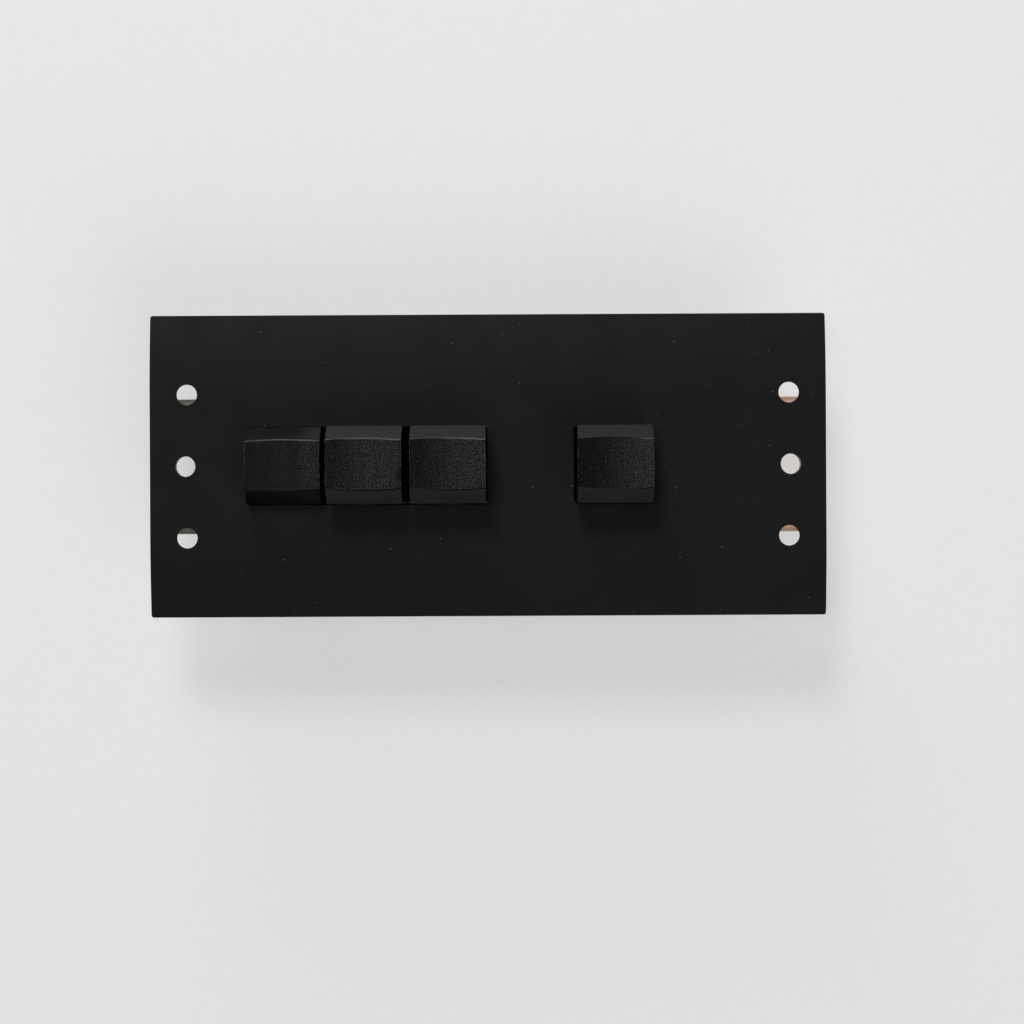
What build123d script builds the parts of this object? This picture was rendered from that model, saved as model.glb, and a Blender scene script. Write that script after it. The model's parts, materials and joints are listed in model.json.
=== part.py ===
from build123d import *
from math import atan, cos, degrees, pi, sin, sqrt
import os

# Ganged pushbutton switch: four caps on plungers in a folded steel channel, behind a thin front sheet.
# Millimetres. Origin: centre of the fixing-hole pattern, on the front face of the sheet.
# +X runs along the button row and +Z points out of the buttons; a press moves a button along -Z.
# The first button is modelled latched in, the other three out.

os.makedirs("parts", exist_ok=True)

# ---- front sheet ----
sheet_length = 156.8
sheet_width = 70.6
sheet_thick = 0.5
sheet_corner_r = 0.6
edge_droop = 1.5           # how far the free long edges hang below the flat middle
fixing_hole_d = 4.76
end_hole_inset = 8.15      # sheet end to the hole on the centre line
corner_hole_inset = 8.6    # sheet end to a corner hole
corner_hole_side = 18.7    # sheet's long edge to a corner hole
opening_corner_r = 1.0

# ---- button row ----
station_pitch = 19.05
station_count = 6
used_stations = (0, 1, 2, 4)
row_shift = 0.5            # button row against the hole pattern

# ---- caps ----
cap_gap = 1.85             # between neighbouring caps
cap_y = 17.8
cap_rise = 13.0            # face crest above the sheet, button out
face_y = 11.0
flank_drop = 4.6
dish_depth = 0.6
cap_wall = 1.4
cap_corner_r = 0.3
cap_crest_r = 0.3
socket_wall = 1.5          # round the plunger's stem, inside the cap
gang_gap_x = 0.3           # sheet openings around the caps
single_gap_x = 0.6
opening_gap_y = 0.2
window_extra = 0.3         # the channel's windows are this much larger than the sheet's

# ---- folded channel ----
frame_end_inset = 3.4      # sheet end to the channel's end
frame_width = 31.4
frame_thick = 1.2
bend_inner_r = 1.2
board_tab_w = 5.0
board_tab_inset = 8.0      # board end to its outer tabs
board_tab_foot = 3.2
board_tab_bend_r = 1.4
frame_hole_shift = 0.15    # the channel's end holes sit slightly inside the sheet's
lug_window = 5.2           # hole left in the flange where the lug is bent in

# ---- travel and latch ----
latch_travel = 6.5
over_travel = 0.8
bar_thick = 1.0
bar_fold_ease = 0.3        # outside radius of its folds, beyond the thickness
arm_to_bar = 1.0           # plunger arm to the bar's inner face
tooth_out = 1.6
tooth_drop = 4.6           # cap seat to the tooth's shoulder
tooth_lip = 0.5            # square edge under the shoulder, before the slope
tooth_slope = 0.6          # tooth's height as a share of the free travel above the hook
tooth_room = 1.4           # left between tooth and board at full travel
latch_move = 1.35          # hook engagement, taken up as side clearance where the bar is drawn
latch_free = 0.3
bar_start = 6.0            # bar's free end before the first station
bar_past = 14.0            # bar's folded end past the last station of the gang
bar_strip_h = 5.0
bar_strip_lift = 0.6       # strip's lower edge above the hooks
hook_length = 4.0
latch_spring_room = 8.0
guide_rivet_d = 2.4
guide_head_d = 4.2
guide_head_t = 0.7
formed_head_d = 3.8        # rivet's outer end
dimple_d = 2.4
dimple_t = 0.8

# ---- plungers and springs ----
arm_thick = 2.2
arm_width = 5.0
leg_thick = 2.8
leg_x = 5.2                # contact leg along X
hub_x = 8.0
hub_y = 10.0
hub_rise = 3.8
stem_x = 4.0
stem_y = 3.0
stem_rise = 6.0
tail_side = 3.6
tail_past_board = 0.6
contact_leg = 3.8          # leg below the cross arms
cam_side = 1.15            # material beside and below the cam track
cam_foot = 1.6
pivot_drop = 0.4
track_depth = 1.4
pin_d = 0.9
lane_x = 1.9               # cam track's lanes either side of its middle
heart_foot = 0.9           # island's tip above the pin's lowest place
heart_flank = 2.0          # island's waist below its notch
heart_cheek = 0.1          # top of its straight sides below the notch
heart_lobe_x = 0.8
heart_low_lobe = 0.45      # lobes above the notch
heart_high_lobe = 0.75
cam_room = 0.3             # board cut-out around the cam leg
follower_tail = 4.0        # wire outside the channel, below the pivot
follower_tip_gap = 0.3     # wire's tip to the bottom of the track
tip_chamfer = 0.4
spring_wire = 0.5
spring_turns = 4
latch_wire_d = 0.4
latch_spring_turns = 5
return_spring_slack = 0.35 # radial, over the tail's corners
latch_spring_slack = 0.3   # radial, over the dimples
latch_spring_side = 0.2    # to the channel's wall
coil_steps = 10            # straight steps in each drawn turn of a spring

# ---- board and contacts ----
board_thick = 1.6
board_side = 1.3           # beyond the channel on each side
board_before = 0.75        # station pitches before the first station
board_after = 0.86         # and past the last
blade_open = 2.5           # bridge to the blades' mouth, button out
bus_width = 3.0
bus_inset = 1.0
bus_end_w = 3.5            # where the strip turns across the board
bus_pad = 4.0              # foot of each end terminal
bus_tongue = 3.2           # from the strip to each contact blade
tab_past = 1.0             # blade terminals beyond the pressed tails
brass_thick = 0.8
bridge_thick = 0.4
tab_width = 6.3            # blade terminal 6.3 x 0.8
tab_hole_d = 1.7
tab_hole_rise = 3.6        # locating hole above the tip
tab_bevel = 1.0
tab_step_x = 0.5           # contact blade's inner face to the terminal
tab_step_y = 0.4           # contact blade's edge to the terminal
bus_apart = 1.2            # common strip to the terminals
blade_flare = 0.4          # outward, over the last flare_rise of the blade
flare_rise = 1.0
bridge_rise = 3.0          # bridge's sides up the leg
bridge_bend_r = 0.6
lug_width = 2.2            # lugs folded over the board's far face
lug_reach = 2.2

# ---- clearances ----
slide_gap = 0.1
fit_gap = 0.05
guide_gap = 0.2
stop_gap = 0.3
cut_past = 1.0             # how far a cut starts or ends outside the material
hair = 0.01                # tolerance for picking edges and faces

# ---- sizes that follow ----
end_hole_pitch = sheet_length - 2 * end_hole_inset
corner_pitch_x = sheet_length - 2 * corner_hole_inset
corner_pitch_y = sheet_width - 2 * corner_hole_side
frame_length = sheet_length - 2 * frame_end_inset
full_travel = latch_travel + over_travel
station_x = [row_shift + (i - (station_count - 1) / 2) * station_pitch for i in used_stations]
gang_x = station_x[:3]
single_x = station_x[3]
cap_x = station_pitch - cap_gap
frame_half = frame_width / 2
inner_half = frame_half - frame_thick
frame_top = -sheet_thick
frame_under = frame_top - frame_thick
arm_top = frame_under - stop_gap
arm_under = arm_top - arm_thick

bar_outer_y = inner_half - slide_gap
bar_inner_y = bar_outer_y - bar_thick
arm_reach = bar_inner_y - arm_to_bar
leg_inner_y = arm_reach - leg_thick

tooth_top = arm_top - tooth_drop
hook_under = tooth_top - latch_travel + slide_gap
hook_top = hook_under + bar_thick
tooth_under = tooth_top - tooth_slope * (latch_travel - bar_thick)
board_top = tooth_under - full_travel - tooth_room
board_under = board_top - board_thick
tail_end = board_under - tail_past_board
tab_end = tail_end - full_travel - tab_past

board_x0 = station_x[0] - board_before * station_pitch
board_x1 = single_x + board_after * station_pitch
board_half = frame_half + board_side
board_tab_x = [board_x0 + board_tab_inset, (board_x0 + board_x1) / 2, board_x1 - board_tab_inset]

strip_under = hook_top + bar_strip_lift
strip_top = strip_under + bar_strip_h
bar_x0 = gang_x[0] - bar_start
bar_x1 = gang_x[2] + bar_past
guide_rivet_x = [x + station_pitch / 2 for x in gang_x[:2]]
guide_rivet_z = (strip_under + strip_top) / 2
lug_x = bar_x1 + latch_spring_room

pin_y = (arm_reach + inner_half) / 2
lane_half = pin_d / 2 + guide_gap
follower_arm = latch_travel - slide_gap
pivot_z = arm_under - pivot_drop
pin_rest_z = pivot_z - sqrt(follower_arm**2 - lane_x**2)
pin_mid_z = pivot_z - follower_arm
cam_half = lane_x + lane_half + cam_side
cam_under = pin_mid_z - pin_d / 2 - cam_foot

leg_under = arm_under - contact_leg
contact_half = leg_x / 2 + bridge_thick + slide_gap
contact_y0 = -arm_reach + guide_gap
contact_y1 = -leg_inner_y - guide_gap
contact_top = leg_under - blade_open
tab_y = contact_y1 + brass_thick / 2 + tab_step_y
tab_x0 = contact_half + tab_step_x
bus_y = tab_y + brass_thick / 2 + bus_apart + bus_width / 2
bus_z = board_under - brass_thick
bus_x0 = board_x0 + bus_inset
bus_x1 = board_x1 - bus_inset
spring_r = tail_side / 2 * sqrt(2) + spring_wire / 2 + return_spring_slack
latch_spring_r = dimple_d / 2 + latch_wire_d / 2 + latch_spring_slack
latch_spring_y = inner_half - latch_spring_r - latch_wire_d / 2 - latch_spring_side
blade_y = (contact_y0 + contact_y1) / 2
tab_mid_x = tab_x0 + tab_width / 2


def save(shape, name, at=(0, 0, 0)):
    """Write one piece in its place as a named STEP file."""
    placed = shape.moved(Location(at))
    placed.label = name
    export_step(placed, f"parts/{name}.step")


def cap_openings(extra):
    """Centre and length, along X, of the long opening for the gang and the one for the single cap."""
    gang_mid = (gang_x[0] + gang_x[2]) / 2
    gang_length = gang_x[2] - gang_x[0] + cap_x + 2 * (gang_gap_x + extra)
    return [(gang_mid, gang_length), (single_x, cap_x + 2 * (single_gap_x + extra))]


# ================= front sheet =================
def build_sheet():
    reach = sheet_width / 2 - frame_half
    droop_r = reach**2 / (2 * edge_droop)
    angle = degrees(atan(reach / droop_r))
    with BuildPart() as sheet:
        # cross-section: flat over the channel, bending down toward both long edges
        with BuildSketch(Plane.YZ):
            with BuildLine():
                Line((-frame_half, 0), (frame_half, 0))
                upper_r = CenterArc((frame_half, -droop_r), droop_r, 90, -angle)
                lower_r = CenterArc((frame_half, -droop_r), droop_r - sheet_thick, 90, -angle)
                Line(upper_r @ 1, lower_r @ 1)
                Line((frame_half, -sheet_thick), (-frame_half, -sheet_thick))
                lower_l = CenterArc((-frame_half, -droop_r), droop_r - sheet_thick, 90, angle)
                upper_l = CenterArc((-frame_half, -droop_r), droop_r, 90, angle)
                Line(upper_l @ 1, lower_l @ 1)
            make_face()
        extrude(amount=sheet_length / 2, both=True)
        # six fixing holes
        with BuildSketch(Plane.XY.offset(cut_past)):
            with GridLocations(end_hole_pitch, 1, 2, 1):
                Circle(fixing_hole_d / 2)
            with GridLocations(corner_pitch_x, corner_pitch_y, 2, 2):
                Circle(fixing_hole_d / 2)
        extrude(amount=-(edge_droop + sheet_thick + 2 * cut_past), mode=Mode.SUBTRACT)
        # openings for the caps
        with BuildSketch(Plane.XY.offset(cut_past)):
            for mid, length in cap_openings(0):
                with Locations((mid, 0)):
                    RectangleRounded(length, cap_y + 2 * opening_gap_y, opening_corner_r)
        extrude(amount=-(sheet_thick + 2 * cut_past), mode=Mode.SUBTRACT)
        corners = sheet.edges().filter_by(Axis.Z, tolerance=20).sort_by(lambda e: -abs(e.center().Y))[:4]
        fillet(corners, radius=sheet_corner_r)
    return sheet


# ================= folded channel =================
def build_frame():
    bend_outer_r = bend_inner_r + frame_thick
    with BuildPart() as frame:
        with BuildSketch(Plane.YZ):
            with BuildLine():
                outer = FilletPolyline(
                    (-frame_half, board_top), (-frame_half, frame_top),
                    (frame_half, frame_top), (frame_half, board_top), radius=bend_outer_r)
                inner = FilletPolyline(
                    (-inner_half, board_top), (-inner_half, frame_under),
                    (inner_half, frame_under), (inner_half, board_top), radius=bend_inner_r)
                Line(outer @ 0, inner @ 0)
                Line(outer @ 1, inner @ 1)
            make_face()
        extrude(amount=frame_length / 2, both=True)
        # windows for the caps and the two end holes
        with BuildSketch(Plane.XY):
            for mid, length in cap_openings(window_extra):
                with Locations((mid, 0)):
                    Rectangle(length, cap_y + 2 * (opening_gap_y + window_extra))
            with GridLocations(end_hole_pitch - 2 * frame_hole_shift, 1, 2, 1):
                Circle(fixing_hole_d / 2)
        extrude(amount=frame_under - cut_past, mode=Mode.SUBTRACT)
        # tabs that pass through the board and fold inward under it
        for x in board_tab_x:
            for side in (-1, 1):
                with BuildSketch(Plane.YZ.offset(x)):
                    with BuildLine():
                        tab_out = FilletPolyline(
                            (side * frame_half, board_top), (side * frame_half, board_under - frame_thick),
                            (side * (frame_half - board_tab_foot), board_under - frame_thick),
                            radius=board_tab_bend_r)
                        tab_in = Polyline(
                            (side * inner_half, board_top), (side * inner_half, board_under),
                            (side * (frame_half - board_tab_foot), board_under))
                        Line(tab_out @ 0, tab_in @ 0)
                        Line(tab_out @ 1, tab_in @ 1)
                    make_face()
                extrude(amount=board_tab_w / 2, both=True)
        # lanced lug that backs the latch spring, with its dimple, beside its own window in the flange
        with BuildSketch(Plane.XZ.offset(-inner_half)):
            with Locations((lug_x + frame_thick / 2, guide_rivet_z)):
                Rectangle(frame_thick, bar_strip_h)
        extrude(amount=inner_half - leg_inner_y)
        with BuildSketch(Plane.XZ.offset(-frame_half - cut_past)):
            with Locations((lug_x + frame_thick + lug_window / 2, guide_rivet_z)):
                Rectangle(lug_window, bar_strip_h)
        extrude(amount=frame_thick + 2 * cut_past, mode=Mode.SUBTRACT)
        with BuildSketch(Plane.YZ.offset(lug_x)):
            with Locations((latch_spring_y, guide_rivet_z)):
                Circle(dimple_d / 2)
        extrude(amount=-dimple_t)
        # holes in the flange: latch-bar rivets and the follower's pivot
        with BuildSketch(Plane.XZ.offset(-frame_half - cut_past)):
            with Locations(*[(x, guide_rivet_z) for x in guide_rivet_x]):
                Circle(guide_rivet_d / 2)
            with Locations((single_x, pivot_z)):
                Circle(pin_d / 2 + fit_gap)
        extrude(amount=frame_thick + 2 * cut_past, mode=Mode.SUBTRACT)
    return frame


# ================= terminal board =================
def build_board():
    blade_w = contact_y1 - contact_y0
    with BuildPart() as board:
        with BuildSketch(Plane.XY.offset(board_top)):
            with Locations(((board_x0 + board_x1) / 2, 0)):
                Rectangle(board_x1 - board_x0, 2 * board_half)
            # guide holes for the plunger tails
            with Locations(*[(x, 0) for x in station_x]):
                Rectangle(tail_side + 2 * slide_gap, tail_side + 2 * slide_gap, mode=Mode.SUBTRACT)
            # slots for the channel's tabs
            slot_y = (frame_half + inner_half) / 2
            with Locations(*[(x, side * slot_y) for x in board_tab_x for side in (-1, 1)]):
                Rectangle(board_tab_w + 2 * slide_gap, frame_thick + 2 * slide_gap, mode=Mode.SUBTRACT)
            # slots for the common blades, the terminal tabs and the fixing lugs
            with Locations(*[(x - contact_half - brass_thick / 2, blade_y) for x in station_x]):
                Rectangle(brass_thick + 2 * fit_gap, blade_w + 2 * fit_gap, mode=Mode.SUBTRACT)
            with Locations(*[(x + tab_mid_x, tab_y) for x in station_x]):
                Rectangle(tab_width + 2 * fit_gap, brass_thick + 2 * fit_gap, mode=Mode.SUBTRACT)
            with Locations(*[(x + tab_mid_x, contact_y0 + brass_thick / 2) for x in station_x]):
                Rectangle(lug_width + 2 * fit_gap, brass_thick + 2 * fit_gap, mode=Mode.SUBTRACT)
            with Locations((bus_x0 + brass_thick / 2, 0), (bus_x1 - brass_thick / 2, 0)):
                Rectangle(brass_thick + 2 * fit_gap, lug_width + 2 * fit_gap, mode=Mode.SUBTRACT)
            # room for the single button's cam leg
            with Locations((single_x, (arm_reach + leg_inner_y) / 2)):
                Rectangle(2 * (cam_half + cam_room), leg_thick + 2 * cam_room, mode=Mode.SUBTRACT)
        extrude(amount=-board_thick)
    return board


# ================= button cap =================
def build_cap():
    outer_half = cap_y / 2
    crest_half = face_y / 2
    inner_half_y = outer_half - cap_wall
    roof_half = crest_half - cap_wall / 2
    roof_z = cap_rise - dish_depth - cap_wall
    half_x = cap_x / 2
    dish_r = (half_x**2 + dish_depth**2) / (2 * dish_depth)
    with BuildPart() as cap:
        with BuildSketch(Plane.YZ):
            Polygon(
                (-outer_half, arm_top), (outer_half, arm_top), (outer_half, cap_rise - flank_drop),
                (crest_half, cap_rise), (-crest_half, cap_rise), (-outer_half, cap_rise - flank_drop),
                align=None)
        extrude(amount=half_x, both=True)
        # finger dish, curved across the cap
        with BuildSketch(Plane.XZ):
            with Locations((0, cap_rise - dish_depth + dish_r)):
                Circle(dish_r)
        extrude(amount=cap_y, both=True, mode=Mode.SUBTRACT)
        # hollow from below
        with BuildSketch(Plane.YZ):
            Polygon(
                (-inner_half_y, arm_top), (inner_half_y, arm_top),
                (inner_half_y, cap_rise - flank_drop - cap_wall / 2), (roof_half, roof_z),
                (-roof_half, roof_z), (-inner_half_y, cap_rise - flank_drop - cap_wall / 2),
                align=None)
        extrude(amount=half_x - cap_wall, both=True, mode=Mode.SUBTRACT)
        # socket for the plunger's stem
        with BuildSketch(Plane.XY.offset(arm_top + hub_rise + guide_gap)):
            Rectangle(stem_x + 2 * socket_wall, stem_y + 2 * socket_wall)
            Rectangle(stem_x + 2 * fit_gap, stem_y + 2 * fit_gap, mode=Mode.SUBTRACT)
        extrude(amount=roof_z + cap_wall / 2 - (arm_top + hub_rise + guide_gap))
        upright = cap.edges().filter_by(Axis.Z).filter_by(lambda e: abs(abs(e.center().X) - half_x) < hair)
        fillet(upright, radius=cap_corner_r)
        # crests of the face and the matching corners of the hollow's roof
        along_x = cap.edges().filter_by(lambda e: abs(e.center().X) < hair and e.center().Z > roof_z - hair)
        crests = along_x.filter_by(lambda e: abs(abs(e.center().Y) - crest_half) < cap_wall / 2 + hair)
        fillet(crests, radius=cap_crest_r)
    return cap


# ================= plungers =================
def cam_track():
    """Outline of the cam track with its heart-shaped island, on the X-Z face of the leg."""
    top = pin_rest_z + full_travel + lane_half
    bottom = pin_mid_z - lane_half - slide_gap
    seat = pin_mid_z + latch_travel - pin_d / 2
    island = lane_x - lane_half
    foot = pin_mid_z + pin_d / 2 + heart_foot
    waist = seat - heart_flank
    cheek = seat - heart_cheek
    with BuildSketch() as track:
        with Locations((0, (top + bottom) / 2)):
            RectangleRounded(2 * (lane_x + lane_half), top - bottom, lane_half - hair)
        Polygon(
            (0, foot), (island, waist), (island, cheek), (heart_lobe_x, seat + heart_low_lobe), (0, seat),
            (-heart_lobe_x, seat + heart_high_lobe), (-island, cheek), (-island, waist),
            align=None, mode=Mode.SUBTRACT)
    return track.sketch


def build_plunger(self_latching):
    leg_mid_y = (arm_reach + leg_inner_y) / 2
    arm_half = arm_width / 2
    tooth_tip = arm_half + tooth_out
    with BuildPart() as plunger:
        # cross arms under the cap's rim, and the hub inside the cap
        with BuildSketch(Plane.XY.offset(arm_top)):
            Rectangle(arm_width, 2 * arm_reach)
            Rectangle(hub_x, hub_y)
        extrude(amount=-arm_thick)
        with BuildSketch(Plane.XY.offset(arm_top)):
            Rectangle(hub_x, hub_y)
        extrude(amount=hub_rise)
        with BuildSketch(Plane.XY.offset(arm_top + hub_rise)):
            Rectangle(stem_x, stem_y)
        extrude(amount=stem_rise)
        stem_tip = plunger.faces().sort_by(Axis.Z)[-1].edges()
        chamfer(stem_tip, length=tip_chamfer)
        # tail guided in the board
        with BuildSketch(Plane.XY.offset(arm_under)):
            Rectangle(tail_side, tail_side)
        extrude(amount=tail_end - arm_under)
        tail_tip = plunger.faces().sort_by(Axis.Z)[0].edges()
        chamfer(tail_tip, length=tip_chamfer)
        # leg that carries the contact bridge
        with BuildSketch(Plane.XY.offset(arm_under)):
            with Locations((0, -leg_mid_y)):
                Rectangle(leg_x, leg_thick)
        extrude(amount=leg_under - arm_under)
        level_faces = plunger.faces().filter_by(Axis.Z)
        leg_tip = level_faces.filter_by(lambda f: abs(f.center().Z - leg_under) < hair)
        chamfer(leg_tip.edges().filter_by(Axis.Y), length=tip_chamfer)
        if self_latching:
            with BuildSketch(Plane.XY.offset(arm_top)):
                with Locations((0, leg_mid_y)):
                    Rectangle(2 * cam_half, leg_thick)
            extrude(amount=cam_under - arm_top)
            with BuildSketch(Plane.XZ.offset(-arm_reach)):
                add(cam_track())
            extrude(amount=track_depth, mode=Mode.SUBTRACT)
        else:
            # leg with the latch tooth: flat shoulder on top, slope below
            with BuildSketch(Plane.XZ.offset(-arm_reach)):
                Polygon(
                    (-arm_half, arm_top), (arm_half, arm_top), (arm_half, tooth_top),
                    (tooth_tip, tooth_top), (tooth_tip, tooth_top - tooth_lip),
                    (arm_half, tooth_under), (-arm_half, tooth_under), align=None)
            extrude(amount=leg_thick)
    return plunger


# ================= springs =================
def build_coil(radius, wire_d, turns, length):
    """Open coil spring standing on the XY plane; length is overall, wire included."""
    rise = length - wire_d
    steps = turns * coil_steps
    turn_angle = 2 * pi / coil_steps
    points = [(radius * cos(i * turn_angle), radius * sin(i * turn_angle), wire_d / 2 + rise * i / steps)
              for i in range(steps + 1)]
    with BuildPart() as spring:
        with BuildLine():
            coil = Polyline(*points)
        with BuildSketch(Plane(origin=coil @ 0, z_dir=coil % 0)):
            RegularPolygon(wire_d / 2, 6)
        sweep(path=coil, transition=Transition.RIGHT)
    return spring.part


def build_latch_spring():
    x0 = bar_x1 + latch_free + fit_gap
    coil = build_coil(latch_spring_r, latch_wire_d, latch_spring_turns, lug_x - x0)
    return coil.moved(Location((x0, latch_spring_y, guide_rivet_z), (0, 90, 0)))


# ================= latch bar =================
def build_latch_bar():
    hook_x0 = arm_width / 2 + tooth_out + slide_gap + fit_gap
    fold = 2 * bar_thick
    with BuildPart() as bar:
        with BuildSketch(Plane.XZ.offset(-bar_outer_y)):
            with Locations(((bar_x0 + bar_x1 - fold) / 2, (strip_under + strip_top) / 2)):
                Rectangle(bar_x1 - fold - bar_x0, bar_strip_h)
        extrude(amount=bar_thick)
        # hooks folded inward under the strip, one beside each tooth
        for x in gang_x:
            with BuildSketch(Plane.YZ.offset(x + hook_x0)):
                with BuildLine():
                    hook_out = FilletPolyline(
                        (bar_outer_y, strip_under + bar_thick), (bar_outer_y, hook_under),
                        (leg_inner_y, hook_under), radius=bar_thick + bar_fold_ease)
                    hook_in = Polyline(
                        (bar_inner_y, strip_under + bar_thick), (bar_inner_y, hook_top),
                        (leg_inner_y, hook_top))
                    Line(hook_out @ 0, hook_in @ 0)
                    Line(hook_out @ 1, hook_in @ 1)
                make_face()
            extrude(amount=hook_length)
        # end folded inward against the spring, with a dimple that centres it
        with BuildSketch(Plane.XY.offset(strip_under)):
            with BuildLine():
                end_out = FilletPolyline(
                    (bar_x1 - fold, bar_outer_y), (bar_x1, bar_outer_y), (bar_x1, leg_inner_y),
                    radius=bar_thick + bar_fold_ease)
                end_in = Polyline(
                    (bar_x1 - fold, bar_inner_y), (bar_x1 - bar_thick, bar_inner_y),
                    (bar_x1 - bar_thick, leg_inner_y))
                Line(end_out @ 0, end_in @ 0)
                Line(end_out @ 1, end_in @ 1)
            make_face()
        extrude(amount=bar_strip_h)
        with BuildSketch(Plane.YZ.offset(bar_x1)):
            with Locations((latch_spring_y, guide_rivet_z)):
                Circle(dimple_d / 2)
        extrude(amount=dimple_t)
        # long holes that let the bar slide on its rivets
        slot_d = guide_rivet_d + 2 * slide_gap
        slide = latch_move + latch_free
        with BuildSketch(Plane.XZ.offset(-bar_outer_y - cut_past)):
            for x in guide_rivet_x:
                with Locations((x + (latch_move - latch_free) / 2, guide_rivet_z)):
                    SlotOverall(slot_d + slide + slide_gap, slot_d)
        extrude(amount=bar_thick + 2 * cut_past, mode=Mode.SUBTRACT)
    return bar


def build_guide_rivet():
    head_y = bar_inner_y - slide_gap
    with BuildPart() as rivet:
        with BuildSketch(Plane.XZ.offset(-head_y)):
            Circle(guide_head_d / 2)
        extrude(amount=guide_head_t)
        with BuildSketch(Plane.XZ.offset(-frame_half)):
            Circle(guide_rivet_d / 2)
        extrude(amount=frame_half - head_y)
        with BuildSketch(Plane.XZ.offset(-frame_half - guide_head_t)):
            Circle(formed_head_d / 2)
        extrude(amount=guide_head_t)
    return rivet


# ================= follower of the single button's heart cam =================
def build_follower():
    outside_y = frame_half + pin_d / 2 + guide_gap
    tip_y = arm_reach - track_depth + follower_tip_gap
    with BuildPart() as follower:
        with BuildLine():
            wire = Polyline(
                (0, outside_y, pivot_z - follower_tail), (0, outside_y, pivot_z), (0, pin_y, pivot_z),
                (-lane_x, pin_y, pin_rest_z), (-lane_x, tip_y, pin_rest_z))
        with BuildSketch(Plane(origin=wire @ 0, z_dir=wire % 0)):
            Circle(pin_d / 2)
        sweep(path=wire, transition=Transition.RIGHT)
    return follower


# ================= contacts =================
def build_bridge():
    leg_half = leg_x / 2
    out_half = leg_half + bridge_thick
    top = leg_under + bridge_rise
    with BuildPart() as bridge:
        with BuildSketch(Plane.XZ.offset(-contact_y0)):
            with BuildLine():
                outer = FilletPolyline(
                    (-out_half, top), (-out_half, leg_under - bridge_thick),
                    (out_half, leg_under - bridge_thick), (out_half, top), radius=bridge_bend_r)
                inner = Polyline(
                    (-leg_half, top), (-leg_half, leg_under), (leg_half, leg_under), (leg_half, top))
                Line(outer @ 0, inner @ 0)
                Line(outer @ 1, inner @ 1)
            make_face()
        extrude(amount=-(contact_y1 - contact_y0))
    return bridge


def blade_tab(x_mid, y_mid, top):
    """Blade terminal pointing down, with a bevelled tip and a locating hole."""
    side = tab_width / 2
    tip = side - tab_bevel
    bevel_z = tab_end + tab_bevel
    with BuildPart() as tab:
        with BuildSketch(Plane.XZ.offset(-y_mid)):
            Polygon(
                (x_mid - side, top), (x_mid + side, top), (x_mid + side, bevel_z),
                (x_mid + tip, tab_end), (x_mid - tip, tab_end), (x_mid - side, bevel_z), align=None)
            with Locations((x_mid, tab_end + tab_hole_rise)):
                Circle(tab_hole_d / 2, mode=Mode.SUBTRACT)
        extrude(amount=brass_thick / 2, both=True)
    return tab.part


def contact_blade(side, foot_z):
    """Upright contact blade with its mouth flared outward; side is -1 or +1 from the leg."""
    near = side * contact_half
    far = side * (contact_half + brass_thick)
    flare = side * blade_flare
    flare_z = contact_top - flare_rise
    with BuildPart() as blade:
        with BuildSketch(Plane.XZ.offset(-contact_y0)):
            Polygon(
                (near, foot_z), (far, foot_z), (far, flare_z), (far + flare, contact_top),
                (near + flare, contact_top), (near, flare_z), align=None)
        extrude(amount=-(contact_y1 - contact_y0))
    return blade.part


def lug_section():
    """Section of a lug that passes through the board and folds along its far face."""
    with BuildSketch() as section:
        with BuildLine():
            outer = FilletPolyline(
                (0, 0), (0, -board_thick - brass_thick), (lug_reach, -board_thick - brass_thick),
                radius=brass_thick)
            inner = Polyline((brass_thick, 0), (brass_thick, -board_thick), (lug_reach, -board_thick))
            Line(outer @ 0, inner @ 0)
            Line(outer @ 1, inner @ 1)
        make_face()
    return section.sketch


def build_terminal():
    foot_x1 = tab_x0 + tab_width
    foot_y1 = tab_y + brass_thick / 2
    with BuildPart() as terminal:
        add(contact_blade(1, board_top))
        add(blade_tab(tab_mid_x, tab_y, board_top + brass_thick))
        with BuildSketch(Plane.XY.offset(board_top)):
            with Locations(((contact_half + foot_x1) / 2, blade_y)):
                Rectangle(foot_x1 - contact_half, contact_y1 - contact_y0)
            with Locations((tab_mid_x, (contact_y0 + foot_y1) / 2)):
                Rectangle(tab_width, foot_y1 - contact_y0)
        extrude(amount=brass_thick)
        # lug down through the board, folded inward under it
        across = Plane(origin=(tab_mid_x, contact_y0, board_top), x_dir=(0, 1, 0), z_dir=(1, 0, 0))
        with BuildSketch(across):
            add(lug_section())
        extrude(amount=lug_width / 2, both=True)
    return terminal


def build_bus():
    tab_line_y = -tab_y
    far_y = tab_line_y + brass_thick / 2
    near_y = bus_y - bus_width / 2
    ends = ((bus_x0, 1), (bus_x1, -1))
    with BuildPart() as bus:
        with BuildSketch(Plane.XY.offset(bus_z)):
            with Locations(((bus_x0 + bus_x1) / 2, bus_y)):
                Rectangle(bus_x1 - bus_x0, bus_width)
            # both ends turn across to the opposite side
            for x, inward in ends:
                with Locations((x + inward * bus_end_w / 2, (near_y + far_y) / 2)):
                    Rectangle(bus_end_w, far_y - near_y)
                with Locations((x + inward * tab_width / 2, far_y - bus_pad / 2)):
                    Rectangle(tab_width, bus_pad)
            # a tongue to each station
            tongue_y = (contact_y0 + bus_y) / 2
            with Locations(*[(x - contact_half - bus_tongue / 2, tongue_y) for x in station_x]):
                Rectangle(bus_tongue, bus_y - contact_y0)
        extrude(amount=brass_thick)
        for x in station_x:
            add(contact_blade(-1, bus_z).moved(Location((x, 0, 0))))
        for x, inward in ends:
            add(blade_tab(x + inward * tab_width / 2, tab_line_y, board_under))
            # lug up through the board, folded inward on top
            with BuildSketch(Plane(origin=(x, 0, board_under), x_dir=(inward, 0, 0), z_dir=(0, inward, 0))):
                add(lug_section())
            extrude(amount=lug_width / 2, both=True)
    return bus


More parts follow.
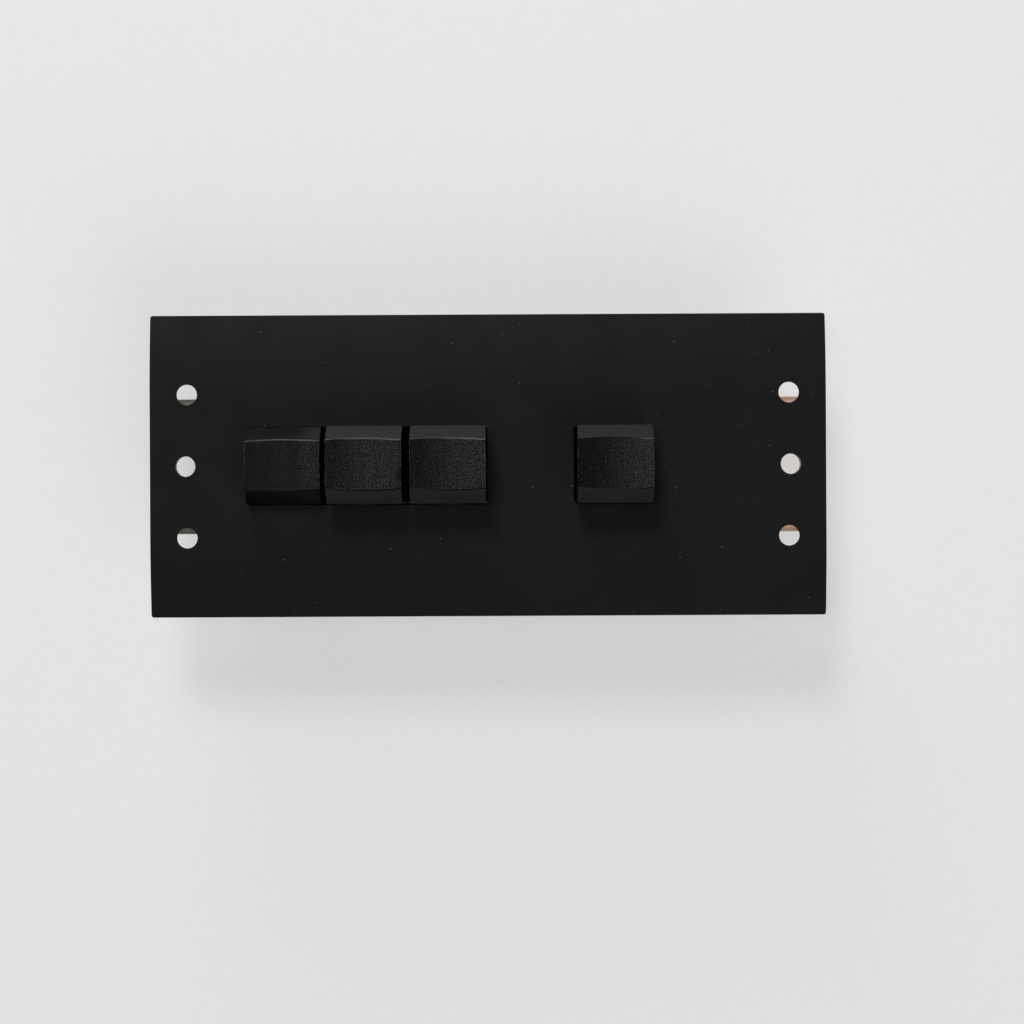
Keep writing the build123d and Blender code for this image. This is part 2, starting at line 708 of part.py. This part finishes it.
# ================= assembly =================
save(build_sheet().part, "panel_sheet")
save(build_frame().part, "frame_channel")
save(build_board().part, "terminal_board")

cap_shape = build_cap().part
bridge_shape = build_bridge().part
terminal_shape = build_terminal().part
for number, x in enumerate(station_x, 1):
    is_single = x == single_x
    press = latch_travel if number == 1 else 0
    save(cap_shape, f"button_{number}", (x, 0, -press))
    save(build_plunger(is_single).part, f"plunger_{number}", (x, 0, -press))
    save(bridge_shape, f"contact_bridge_{number}", (x, 0, -press))
    spring_shape = build_coil(spring_r, spring_wire, spring_turns, arm_under - board_top - press)
    save(spring_shape, f"return_spring_{number}", (x, 0, board_top))
    save(terminal_shape, f"terminal_{number}", (x, 0, 0))

save(build_latch_bar().part, "latch_bar")
save(build_latch_spring(), "latch_spring")
save(Compound(children=[build_guide_rivet().part.moved(Location((x, 0, guide_rivet_z)))
                        for x in guide_rivet_x]), "latch_bar_rivets")
save(build_follower().part, "latch_follower", (single_x, 0, 0))
save(build_bus().part, "common_bus")
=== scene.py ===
import json
import math
import bpy
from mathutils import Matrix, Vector

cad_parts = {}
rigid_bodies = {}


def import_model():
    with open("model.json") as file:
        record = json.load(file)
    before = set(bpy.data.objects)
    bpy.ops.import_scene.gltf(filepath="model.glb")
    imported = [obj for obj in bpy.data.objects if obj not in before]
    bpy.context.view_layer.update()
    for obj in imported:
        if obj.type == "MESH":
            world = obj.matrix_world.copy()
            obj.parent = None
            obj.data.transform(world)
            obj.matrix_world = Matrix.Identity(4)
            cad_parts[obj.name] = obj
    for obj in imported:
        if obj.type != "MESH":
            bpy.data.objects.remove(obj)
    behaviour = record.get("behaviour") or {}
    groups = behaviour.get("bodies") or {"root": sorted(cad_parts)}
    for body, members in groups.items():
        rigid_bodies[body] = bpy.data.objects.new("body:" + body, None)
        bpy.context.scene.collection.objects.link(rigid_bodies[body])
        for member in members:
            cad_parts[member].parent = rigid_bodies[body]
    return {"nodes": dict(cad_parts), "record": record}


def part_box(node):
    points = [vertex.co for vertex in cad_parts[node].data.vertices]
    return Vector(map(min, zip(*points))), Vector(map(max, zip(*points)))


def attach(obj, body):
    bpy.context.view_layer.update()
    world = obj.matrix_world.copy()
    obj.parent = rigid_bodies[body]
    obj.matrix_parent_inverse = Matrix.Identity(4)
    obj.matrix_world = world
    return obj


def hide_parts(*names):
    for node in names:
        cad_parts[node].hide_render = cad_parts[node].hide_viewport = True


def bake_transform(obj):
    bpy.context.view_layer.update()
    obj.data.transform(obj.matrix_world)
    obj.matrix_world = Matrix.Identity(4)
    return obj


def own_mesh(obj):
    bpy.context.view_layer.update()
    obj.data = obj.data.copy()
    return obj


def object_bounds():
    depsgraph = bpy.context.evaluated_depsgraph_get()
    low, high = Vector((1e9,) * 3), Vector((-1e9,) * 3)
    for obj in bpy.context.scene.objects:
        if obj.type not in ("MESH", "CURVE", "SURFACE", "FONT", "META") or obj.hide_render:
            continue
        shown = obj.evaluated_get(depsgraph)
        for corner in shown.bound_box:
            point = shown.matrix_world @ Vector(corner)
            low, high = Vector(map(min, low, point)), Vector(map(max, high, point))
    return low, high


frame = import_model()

cad_low, cad_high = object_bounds()
scene = bpy.context.scene
nodes = frame["nodes"]
joints = frame["record"]["behaviour"]["joints"]
caps = sorted(name for name in nodes if name.startswith("button_"))

# ---------------------------------------------------------------- named values
# caps: a surface's Z normal is above face_up on a face, between it and crest_up on a rounded
# crest, and between that and flank_up on a flank
face_up = 0.985
crest_up = 0.61
flank_up = 0.3
lit_flank_facing = 0.5           # least Y normal of the flanks with painted light
glint_band_mm = 0.13         # band on each side of a face that holds painted glints
rub_radius_mm = 2.4         # dark rub between the second and third caps
rub_core = 3.0              # higher values carry its full dark further out
rub_off_middle = 0.0023     # its centre, from the middle line of the row
# where a tone begins and is full, as shares of the way to one end of the object
end_cap_from, end_cap_to = 0.52, 0.56   # the gang's end cap, toward -X
lit_from, lit_to = 0.30, 0.42         # the single cap's painted light, toward +X

# other parts
shade_up_limit = 0.7              # least Z normal of brass painted dark and dull as shade
spring_rounds = 2           # subdivisions that round the coils

# floor
floor_half = 12.0
floor_glow = (0.84, 0.84, 0.83)
glow_share = 0.54           # of the paper as the camera sees it; the lit rest carries shadows
shade_edge = 0.005          # softness of the shade close under the board

# lamps: name, place, side of the square, watts; all aim at the origin
lamps = (
    ("key", (-0.20, 0.80, 1.00), 0.34, 6.9),
    ("fill", (0.55, -0.90, 0.88), 1.15, 9.2),
    ("ceiling", (-0.22, 0.04, 1.05), 0.20, 1.5),
    ("low_card", (-0.25, 1.10, 0.16), 0.50, 12.0),
)
# room light by the Z of its direction, level at 0 and straight up at 1
room_stops = [(0.0, 0.20), (0.45, 0.17), (0.85, 0.01)]

# camera
camera_place = (0.0055, -0.0109, 0.484)
camera_roll = -0.28         # degrees
sensor_mm = 36.0
lens_mm = 73.4
clip_near, clip_far = 0.01, 40.0


# ---------------------------------------------------------------- node helpers
def start_material(name):
    """Empty node material around a Principled shader; its coordinates are metres in the frame."""
    mat = bpy.data.materials.new(name)
    mat.use_nodes = True
    tree = mat.node_tree
    tree.nodes.clear()
    out = tree.nodes.new("ShaderNodeOutputMaterial")
    shader = tree.nodes.new("ShaderNodeBsdfPrincipled")
    tree.links.new(shader.outputs[0], out.inputs[0])
    coords = tree.nodes.new("ShaderNodeTexCoord").outputs["Object"]
    return mat, tree, shader, coords


def feed(tree, socket, value):
    """Links a node's output to a socket, or sets the socket to a number or a colour."""
    if isinstance(value, bpy.types.NodeSocket):
        tree.links.new(value, socket)
    elif isinstance(value, tuple):
        socket.default_value = (*value, 1.0)
    else:
        socket.default_value = value


def noise(tree, coords, size_mm, detail, stretch=None):
    """Noise whose features are about size_mm across; stretch scales the coordinates by axis."""
    if stretch:
        mapping = tree.nodes.new("ShaderNodeMapping")
        mapping.inputs["Scale"].default_value = stretch
        tree.links.new(coords, mapping.inputs["Vector"])
        coords = mapping.outputs[0]
    tex = tree.nodes.new("ShaderNodeTexNoise")
    tex.inputs["Scale"].default_value = 1000.0 / size_mm
    tex.inputs["Detail"].default_value = detail
    tree.links.new(coords, tex.inputs["Vector"])
    return tex.outputs["Fac"]


def ramp(tree, factor, stops):
    """Maps 0 to 1 through grey or colour stops: [(place, value or (r, g, b)), ...]."""
    node = tree.nodes.new("ShaderNodeValToRGB")
    ends = node.color_ramp.elements
    while len(ends) < len(stops):
        ends.new(0.5)
    for end, (place, value) in zip(ends, stops):
        end.position = place
        rgb = value if isinstance(value, tuple) else (value, value, value)
        end.color = (*rgb, 1.0)
    tree.links.new(factor, node.inputs[0])
    return node.outputs[0]


def mottle(tree, factor, low, high, spread=0.2):
    """Ramp from low to high across the middle of a noise."""
    return ramp(tree, factor, [(0.5 - spread, low), (0.5 + spread, high)])


def mix(tree, factor, a, b):
    """Colour a at factor 0 and b at factor 1."""
    node = tree.nodes.new("ShaderNodeMix")
    node.data_type = "RGBA"
    for place, value in ((0, factor), (6, a), (7, b)):
        feed(tree, node.inputs[place], value)
    return node.outputs[2]


def calc(tree, kind, a, b=0.0):
    """One Math node on two sockets or numbers."""
    node = tree.nodes.new("ShaderNodeMath")
    node.operation = kind
    feed(tree, node.inputs[0], a)
    feed(tree, node.inputs[1], b)
    return node.outputs[0]


def times(tree, a, b):
    return calc(tree, "MULTIPLY", a, b)


def above(tree, value, limit):
    """1 where value is above limit, 0 elsewhere."""
    return calc(tree, "GREATER_THAN", value, limit)


def axes(tree, vector):
    """X, Y and Z of a vector socket."""
    node = tree.nodes.new("ShaderNodeSeparateXYZ")
    tree.links.new(vector, node.inputs[0])
    return node.outputs


def true_normal(tree):
    """X, Y and Z of the surface's own direction, without bump."""
    return axes(tree, tree.nodes.new("ShaderNodeNewGeometry").outputs["True Normal"])


def bump(tree, shader, height, distance_mm, strength):
    """Raises a material's surface by height, in its looks only."""
    node = tree.nodes.new("ShaderNodeBump")
    node.inputs["Strength"].default_value = strength
    node.inputs["Distance"].default_value = distance_mm / 1000.0
    tree.links.new(height, node.inputs["Height"])
    tree.links.new(node.outputs[0], shader.inputs["Normal"])


def paint(tree, shader, tone, rough):
    """Base colour and roughness of a material."""
    tree.links.new(tone, shader.inputs["Base Color"])
    tree.links.new(rough, shader.inputs["Roughness"])


# ---------------------------------------------------------------- masks
def specks(tree, coords, cell_mm, share, size):
    """Scattered round specks: 1 on a speck, 0 elsewhere; share of the cells hold one."""
    cells = tree.nodes.new("ShaderNodeTexVoronoi")
    cells.inputs["Scale"].default_value = 1000.0 / cell_mm
    tree.links.new(coords, cells.inputs["Vector"])
    split = tree.nodes.new("ShaderNodeSeparateColor")
    tree.links.new(cells.outputs["Color"], split.inputs[0])
    chosen = calc(tree, "LESS_THAN", split.outputs[0], share)
    radius = times(tree, split.outputs[1], size)
    inside = calc(tree, "LESS_THAN", cells.outputs["Distance"], radius)
    return times(tree, chosen, inside)


def near(tree, coords, centre, radius_mm):
    """1 at a point, fading to 0 at a radius from it."""
    apart = tree.nodes.new("ShaderNodeVectorMath")
    apart.operation = "DISTANCE"
    apart.inputs[1].default_value = centre
    tree.links.new(coords, apart.inputs[0])
    share = calc(tree, "DIVIDE", apart.outputs["Value"], radius_mm / 1000.0)
    return calc(tree, "MAXIMUM", calc(tree, "SUBTRACT", 1.0, share), 0.0)


def off_middle(tree, value, low, high):
    """Distance from the middle between low and high."""
    return calc(tree, "ABSOLUTE", calc(tree, "SUBTRACT", value, (low + high) / 2))


def side_edges(tree, across, names, band_mm):
    """1 within band_mm of either X side of any of the named nodes, 0 elsewhere."""
    total = 0.0
    band = band_mm / 1000.0
    for name in names:
        low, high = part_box(name)
        half = (high.x - low.x) / 2
        off = off_middle(tree, across, low.x, high.x)
        past = above(tree, off, half - band)
        inside = calc(tree, "LESS_THAN", off, half + band)
        total = calc(tree, "MAXIMUM", total, times(tree, past, inside))
    return total


def within(tree, value, low, high, edge):
    """1 well between low and high, fading to 0 across a band of width edge at each."""
    reach = (high - low) / 2 + edge / 2
    off = off_middle(tree, value, low, high)
    inside = calc(tree, "DIVIDE", calc(tree, "SUBTRACT", reach, off), edge)
    return calc(tree, "MINIMUM", calc(tree, "MAXIMUM", inside, 0.0), 1.0)


# ---------------------------------------------------------------- materials
def sheet_material():
    """Thin black plastic sheet: satin, faintly mottled, with a little dust."""
    mat, tree, shader, coords = start_material("black_sheet_satin")
    fine = noise(tree, coords, 0.35, 3.0)
    tone = mottle(tree, noise(tree, coords, 45.0, 2.0),
                  (0.0009, 0.0008, 0.0010), (0.0019, 0.0018, 0.0020), 0.15)
    tone = mix(tree, 0.25, tone, mottle(tree, fine, 0.0007, 0.0029))
    tone = mix(tree, specks(tree, coords, 2.4, 0.60, 0.085), tone, (0.070, 0.068, 0.065))
    tone = mix(tree, specks(tree, coords, 1.3, 0.60, 0.10), tone, (0.030, 0.029, 0.028))
    paint(tree, shader, tone, mottle(tree, noise(tree, coords, 8.0, 4.0), 0.60, 0.68))
    shader.inputs["Specular IOR Level"].default_value = 0.19
    bump(tree, shader, fine, 0.01, 0.5)
    return mat


def cap_tone(tree, coords, place, normal, face, grain, smudge, end_cap):
    """Base colour of the caps, apart from the dark rub."""
    plain = mottle(tree, smudge, (0.0024, 0.0023, 0.0025), (0.0036, 0.0034, 0.0037))
    grained = ramp(tree, grain, [(0.35, (0.0036, 0.0036, 0.0039)),
                                 (0.62, (0.0055, 0.0055, 0.0060)),
                                 (0.75, (0.0160, 0.0160, 0.0172))])
    wear = times(tree, noise(tree, coords, 7.0, 2.0), 0.8)
    grained = mix(tree, wear, grained, (0.0046, 0.0046, 0.0050))
    # painted shade: the gang's end cap, pressed in lower than the others, is painted darkest
    grained = mix(tree, times(tree, end_cap, 0.75), grained, (0.0012, 0.0012, 0.0012))
    # painted light: the single cap's grain is painted paler toward its far side, where its dished
    # face catches the light
    toward_single = calc(tree, "DIVIDE", place[0], cad_high.x)
    painted_light_share = ramp(tree, toward_single, [(lit_from, 0.0), (lit_to, 0.7)])
    lit_grain = ramp(tree, grain, [(0.35, (0.0050, 0.0050, 0.0054)),
                              (0.62, (0.0130, 0.0130, 0.0140)),
                              (0.75, (0.0340, 0.0340, 0.0360))])
    grained = mix(tree, painted_light_share, grained, lit_grain)
    # painted light: the flanks that face +Y, toward the lamps, are painted lighter, apart from
    # the end cap's
    painted_lit_flanks = times(tree, above(tree, normal[1], lit_flank_facing), above(tree, normal[2], flank_up))
    painted_lit_flanks = times(tree, painted_lit_flanks, calc(tree, "SUBTRACT", 1.0, end_cap))
    plain = mix(tree, painted_lit_flanks, plain, (0.0086, 0.0084, 0.0090))
    tone = mix(tree, face, plain, grained)
    # painted highlights: pale dots on the sides of each face stand for glints on its edges
    glint_dots = above(tree, noise(tree, coords, 0.7, 2.0), 0.52)
    glint_sides = times(tree, side_edges(tree, place[0], caps, glint_band_mm), face)
    return mix(tree, times(tree, glint_sides, glint_dots), tone, (0.040, 0.040, 0.042))


def cap_material():
    """Black moulded plastic: sparkling grain on the faces, smooth flanks, painted glints on the
    face edges.
    """
    mat, tree, shader, coords = start_material("cap_black_moulded")
    normal = true_normal(tree)
    place = axes(tree, coords)
    face = above(tree, normal[2], face_up)
    crest = calc(tree, "SUBTRACT", above(tree, normal[2], crest_up), face)
    grain = noise(tree, coords, 0.24, 1.0)
    smudge = noise(tree, coords, 5.0, 3.0)
    toward_end = calc(tree, "DIVIDE", place[0], cad_low.x)
    end_cap = ramp(tree, toward_end, [(end_cap_from, 0.0), (end_cap_to, 1.0)])
    tone = cap_tone(tree, coords, place, normal, face, grain, smudge, end_cap)
    # the end cap's face is the most matt, its flanks the sleekest
    face_rough = ramp(tree, grain, [(0.4, 0.28), (0.7, 0.16)])
    face_rough = calc(tree, "ADD", face_rough, times(tree, end_cap, 0.16))
    flank_rough = mottle(tree, smudge, 0.24, 0.30)
    flank_rough = calc(tree, "SUBTRACT", flank_rough, times(tree, end_cap, 0.09))
    rough = mix(tree, face, flank_rough, face_rough)
    rough = mix(tree, crest, rough, ramp(tree, end_cap, [(0.0, 0.11), (1.0, 0.19)]))
    # dark rub where the second and third caps face each other
    left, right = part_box(caps[1]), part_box(caps[2])
    rub_place = ((left[1].x + right[0].x) / 2,
                 (left[0].y + left[1].y) / 2 - rub_off_middle,
                 left[1].z)
    rub = times(tree, near(tree, coords, rub_place, rub_radius_mm), rub_core)
    rub = calc(tree, "MINIMUM", rub, 1.0)
    tone = mix(tree, rub, tone, (0.0004, 0.0004, 0.0004))
    rough = mix(tree, rub, rough, (0.60, 0.60, 0.60))
    paint(tree, shader, tone, rough)
    shader.inputs["Specular IOR Level"].default_value = 0.12
    bump(tree, shader, times(tree, grain, face), 0.06, 1.0)
    return mat


def zinc_material():
    """Passivated zinc plate: painted dull olive toward the gang's end, painted copper-pink toward
    the other.
    """
    mat, tree, shader, coords = start_material("zinc_passivated")
    reach = (cad_high.x - cad_low.x) / 2
    along = calc(tree, "ADD", times(tree, axes(tree, coords)[0], 0.5 / reach), 0.5)
    broad = noise(tree, coords, 9.0, 4.0)
    rolled = noise(tree, coords, 0.5, 2.0, (0.08, 1.0, 1.0))
    # painted shade and reflection: the plate is painted dark olive toward the gang's end, where
    # it lies in shade, and bright copper toward the other, where it reflects the light; its
    # mottled tint is its own
    olive = mottle(tree, broad, (0.075, 0.070, 0.050), (0.150, 0.135, 0.100))
    copper = mottle(tree, broad, (0.56, 0.33, 0.23), (0.70, 0.46, 0.33))
    middle = ramp(tree, broad, [(0.25, (0.46, 0.36, 0.24)),
                                (0.50, (0.56, 0.46, 0.32)),
                                (0.75, (0.42, 0.41, 0.32))])
    toward_painted_shade = ramp(tree, along, [(0.10, 1.0), (0.35, 0.0)])
    toward_painted_reflection = ramp(tree, along, [(0.65, 0.0), (0.90, 1.0)])
    tint = mix(tree, toward_painted_reflection, mix(tree, toward_painted_shade, middle, olive), copper)
    tint = mix(tree, 0.15, tint, mottle(tree, rolled, 0.20, 0.55))
    # both tinted ends are duller than the middle
    dull = times(tree, calc(tree, "MAXIMUM", toward_painted_shade, toward_painted_reflection), 0.28)
    paint(tree, shader, tint, calc(tree, "ADD", mottle(tree, broad, 0.34, 0.50), dull))
    shader.inputs["Metallic"].default_value = 0.85
    bump(tree, shader, rolled, 0.01, 0.4)
    return mat


def metal_tone(tree, coords, lines, low, high):
    """Colour between low and high, half by patches and half by the drawn or rolled lines."""
    patch = noise(tree, coords, 4.0, 3.0)
    return mix(tree, 0.5, mottle(tree, patch, low, high), mottle(tree, lines, low, high))


def steel_material(name, low, high, rough):
    """Bright steel between two tones, its roughness following fine drawn marks."""
    mat, tree, shader, coords = start_material(name)
    drawn = noise(tree, coords, 0.3, 3.0)
    tone = metal_tone(tree, coords, drawn, low, high)
    paint(tree, shader, tone, mottle(tree, drawn, rough - 0.06, rough + 0.08))
    shader.inputs["Metallic"].default_value = 1.0
    bump(tree, shader, drawn, 0.008, 0.5)
    return mat


def brass_material():
    """Tarnished rolled brass; what faces up is painted dark brown and dull, as shade."""
    mat, tree, shader, coords = start_material("brass_rolled")
    rolled = noise(tree, coords, 0.3, 3.0, (0.12, 1.0, 1.0))
    tone = metal_tone(tree, coords, rolled, (0.22, 0.15, 0.06), (0.36, 0.26, 0.11))
    # painted shade: brass that faces up, seen from above through the gaps under the caps, is
    # painted dark brown and dull
    upward = above(tree, true_normal(tree)[2], shade_up_limit)
    tone = mix(tree, upward, tone, (0.020, 0.014, 0.008))
    rough = mix(tree, upward, mottle(tree, rolled, 0.38, 0.52), (0.70, 0.70, 0.70))
    paint(tree, shader, tone, rough)
    shader.inputs["Metallic"].default_value = 1.0
    bump(tree, shader, rolled, 0.008, 0.5)
    return mat


def phenolic_material():
    """Dark paper-phenolic laminate: fine fibres along the board and a soft sheen."""
    mat, tree, shader, coords = start_material("phenolic_brown")
    fibre = noise(tree, coords, 0.8, 4.0, (0.15, 1.0, 1.0))
    tone = mottle(tree, fibre, (0.010, 0.007, 0.005), (0.018, 0.012, 0.008))
    cloud = mottle(tree, noise(tree, coords, 14.0, 2.0),
                   (0.009, 0.006, 0.004), (0.020, 0.013, 0.009), 0.15)
    paint(tree, shader, mix(tree, 0.35, tone, cloud), mottle(tree, fibre, 0.52, 0.64))
    shader.inputs["Specular IOR Level"].default_value = 0.25
    bump(tree, shader, fibre, 0.01, 0.4)
    return mat


def plunger_material():
    """Black moulded plastic of the inner parts, with soft flow marks."""
    mat, tree, shader, coords = start_material("plunger_black")
    flow = noise(tree, coords, 3.0, 3.0)
    tone = mottle(tree, flow, (0.009, 0.009, 0.009), (0.015, 0.015, 0.015))
    paint(tree, shader, tone, mottle(tree, flow, 0.40, 0.52))
    bump(tree, shader, noise(tree, coords, 0.4, 2.0), 0.01, 0.3)
    return mat


by_slot = {
    "black_sheet": sheet_material(),
    "cap_plastic": cap_material(),
    "plunger_plastic": plunger_material(),
    "zinc_steel": zinc_material(),
    "phenolic": phenolic_material(),
    "brass": brass_material(),
    "latch_steel": steel_material("zinc_bright", (0.32, 0.33, 0.35), (0.48, 0.49, 0.51), 0.46),
    "spring_steel": steel_material("spring_steel", (0.38, 0.38, 0.39), (0.58, 0.58, 0.60), 0.28),
}
for part in frame["record"]["subparts"]:
    mesh = nodes[part["node"]].data
    mesh.materials.clear()
    mesh.materials.append(by_slot[part["material_slot"]])


# ---------------------------------------------------------------- springs
# the solids' coils are stepped; subdivision rounds them and keeps their size
for name in [n for n in nodes if "spring" in n]:
    rounding = nodes[name].modifiers.new("round", "SUBSURF")
    rounding.levels = rounding.render_levels = spring_rounds
bpy.context.view_layer.update()
rounded = bpy.context.evaluated_depsgraph_get()


def free_coil(name):
    """Rounded copy of a CAD spring that stands for it; the CAD spring is hidden."""
    mesh = bpy.data.meshes.new_from_object(nodes[name].evaluated_get(rounded))
    coil = bpy.data.objects.new(name.replace("spring", "coil"), mesh)
    scene.collection.objects.link(coil)
    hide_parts(name)
    return coil


# Each return spring sits between the board and the plunger. The copy of one that rests pressed
# is fixed in the frame; the others ride with their joint's parent, each on a mesh of its own.
for joint in joints:
    for row in joint.get("deforming_nodes", []):
        coil = free_coil(row["node"])
        lowest, highest = joint["range_m"]
        if highest > 0:
            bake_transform(coil)
        else:
            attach(coil, joint["parent"])
            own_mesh(coil)

# the latch spring stands between the channel's lug and the sliding bar's folded end
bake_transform(free_coil("latch_spring"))


# ---------------------------------------------------------------- floor
def floor_material():
    """Pale paper, part of it glowing evenly in what the camera and reflections see."""
    mat, tree, shader, coords = start_material("floor_pale")
    paper = noise(tree, coords, 2.5, 4.0)
    tone = mottle(tree, paper, (0.765, 0.765, 0.755), (0.795, 0.795, 0.785))
    tree.links.new(tone, shader.inputs["Base Color"])
    shader.inputs["Roughness"].default_value = 0.9
    shader.inputs["Specular IOR Level"].default_value = 0.1
    glow = tree.nodes.new("ShaderNodeEmission")
    feed(tree, glow.inputs["Color"], floor_glow)
    path = tree.nodes.new("ShaderNodeLightPath")
    seen = calc(tree, "MAXIMUM", path.outputs["Is Camera Ray"], path.outputs["Is Glossy Ray"])
    seen = calc(tree, "MAXIMUM", seen, path.outputs["Is Transmission Ray"])
    # the paper close under the board lies in full shade
    low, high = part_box("terminal_board")
    place = axes(tree, coords)
    shade = times(tree, within(tree, place[0], low.x, high.x, shade_edge),
                  within(tree, place[1], low.y, high.y, shade_edge))
    lit = calc(tree, "SUBTRACT", 1.0, shade)
    blend = tree.nodes.new("ShaderNodeMixShader")
    tree.links.new(times(tree, times(tree, seen, glow_share), lit), blend.inputs[0])
    tree.links.new(shader.outputs[0], blend.inputs[1])
    tree.links.new(glow.outputs[0], blend.inputs[2])
    tree.links.new(blend.outputs[0], tree.nodes["Material Output"].inputs[0])
    return mat


def build_floor():
    """Flat square at the object's lowest point."""
    corners = [(x * floor_half, y * floor_half, cad_low.z)
               for x, y in ((-1, -1), (1, -1), (1, 1), (-1, 1))]
    mesh = bpy.data.meshes.new("floor")
    mesh.from_pydata(corners, [], [(0, 1, 2, 3)])
    mesh.materials.append(floor_material())
    floor = bpy.data.objects.new("floor", mesh)
    scene.collection.objects.link(floor)


build_floor()


# ---------------------------------------------------------------- light
def area_light(name, place, side, watts):
    """Square lamp aimed at the origin."""
    lamp = bpy.data.lights.new(name, "AREA")
    lamp.shape = "SQUARE"
    lamp.size = side
    lamp.energy = watts
    light = bpy.data.objects.new(name, lamp)
    light.location = place
    light.rotation_euler = (-Vector(place)).to_track_quat("-Z", "Y").to_euler()
    scene.collection.objects.link(light)


def room_light():
    """Even room light, brighter toward the walls than overhead."""
    world = bpy.data.worlds.new("room")
    world.use_nodes = True
    tree = world.node_tree
    upward = axes(tree, tree.nodes.new("ShaderNodeTexCoord").outputs["Generated"])[2]
    tree.links.new(ramp(tree, upward, room_stops), tree.nodes["Background"].inputs[0])
    tree.nodes["Background"].inputs[1].default_value = 1.0
    scene.world = world


for lamp_values in lamps:
    area_light(*lamp_values)
room_light()


# ---------------------------------------------------------------- camera
lens = bpy.data.cameras.new("camera")
lens.sensor_width = sensor_mm
lens.lens = lens_mm
lens.clip_start = clip_near
lens.clip_end = clip_far
camera = bpy.data.objects.new("camera", lens)
camera.location = camera_place
camera.rotation_euler = (0.0, 0.0, math.radians(camera_roll))
scene.collection.objects.link(camera)
scene.camera = camera
scene.view_settings.view_transform = "Standard"
